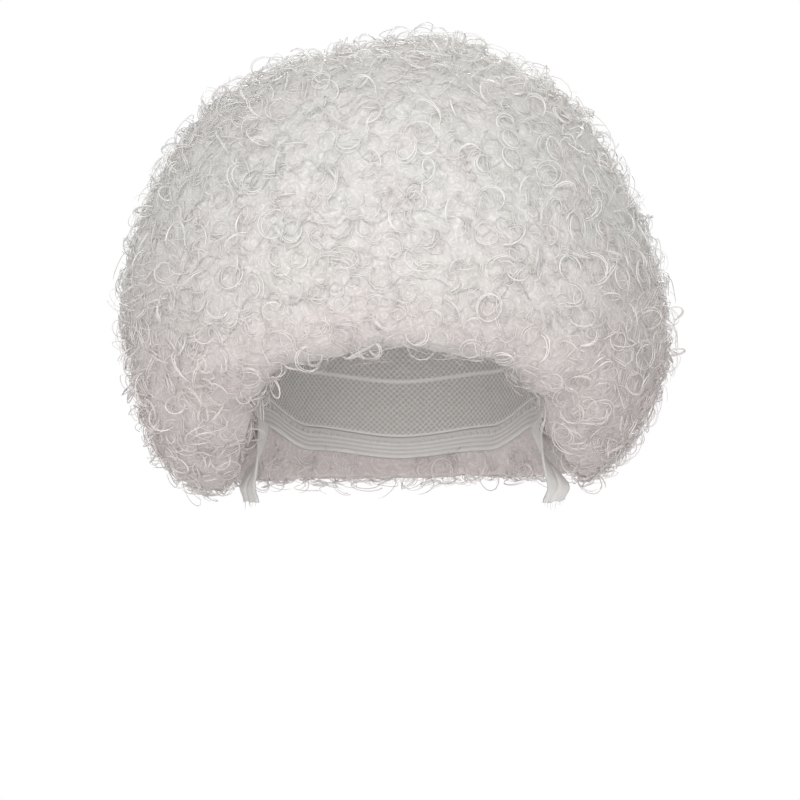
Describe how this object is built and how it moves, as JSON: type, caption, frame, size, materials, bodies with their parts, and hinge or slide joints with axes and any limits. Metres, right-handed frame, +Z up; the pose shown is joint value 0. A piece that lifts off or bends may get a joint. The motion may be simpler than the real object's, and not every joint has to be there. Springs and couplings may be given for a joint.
{
  "type": "curly afro wig",
  "caption": "Off-white, tightly curled round wig of sewn wefts on a stretch net cap, with an elastic edge band and a cloth tab behind each ear.",
  "frame": {"origin": "inside of the cap's crown, where the top of the head bears", "axes": "+Z up, -Y towards the face side, +X towards the wearer's left"},
  "size_m": [0.2944, 0.2893, 0.2463],
  "materials": {
    "hair": "curled off-white synthetic fibre with a soft sheen",
    "net": "matt knitted stretch net",
    "elastic": "matt ribbed woven elastic",
    "tab": "plain smooth cloth, creased, with a raw cut end"
  },
  "bodies": {
    "root": {"net_cap": "net", "elastic_band": "elastic", "tab_left": "tab", "tab_right": "tab", "weft_crown": "hair", "weft_2": "hair", "weft_3": "hair", "weft_4": "hair", "weft_5": "hair", "weft_6": "hair", "weft_7": "hair"}
  },
  "joints": []
}
